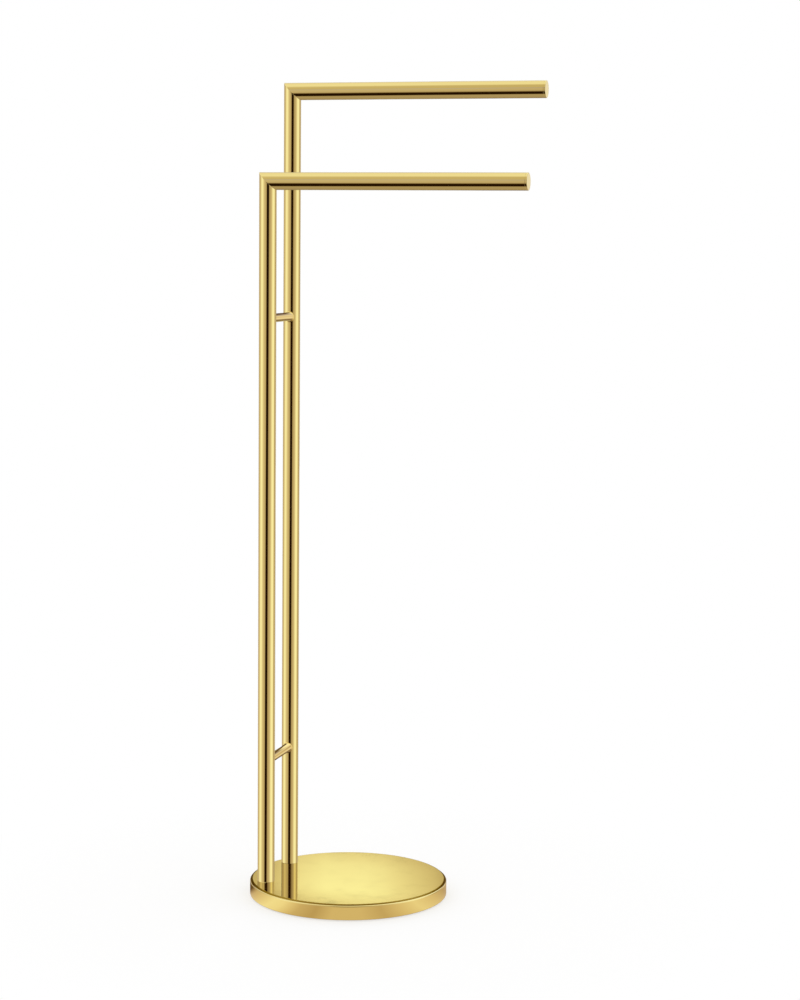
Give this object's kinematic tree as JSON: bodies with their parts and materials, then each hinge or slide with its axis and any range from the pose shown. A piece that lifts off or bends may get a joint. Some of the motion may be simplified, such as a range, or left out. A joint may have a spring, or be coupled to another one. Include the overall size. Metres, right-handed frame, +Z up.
{
  "type": "freestanding towel stand",
  "caption": "Freestanding towel stand: a low and a tall inverted-L tube frame, tied by thin links, on a weighted round base.",
  "frame": {"origin": "centre of the round base, on the floor plane (the underside of the rubber pad)", "axes": "+X runs along the rails towards their free ends, +Y from the low frame to the tall frame, +Z up"},
  "size_m": [0.3, 0.21, 0.86],
  "materials": {
    "polished_gold": "mirror-polished gold plate",
    "turned_brass": "as turned",
    "weight_steel": "black-oxide steel plate",
    "zinc_steel": "zinc-plated",
    "pad_rubber": "matt, fine-grained"
  },
  "bodies": {
    "root": {"base_cover": "polished_gold", "base_weight": "weight_steel", "base_pad": "pad_rubber", "front_post": "polished_gold", "front_rail": "polished_gold", "front_rail_cap": "polished_gold", "front_post_plug": "turned_brass", "front_post_screw": "zinc_steel", "front_post_washer": "zinc_steel", "front_post_spring_washer": "zinc_steel", "rear_post": "polished_gold", "rear_rail": "polished_gold", "rear_rail_cap": "polished_gold", "rear_post_plug": "turned_brass", "rear_post_screw": "zinc_steel", "rear_post_washer": "zinc_steel", "rear_post_spring_washer": "zinc_steel", "upper_link": "polished_gold", "lower_link": "polished_gold"}
  },
  "joints": []
}
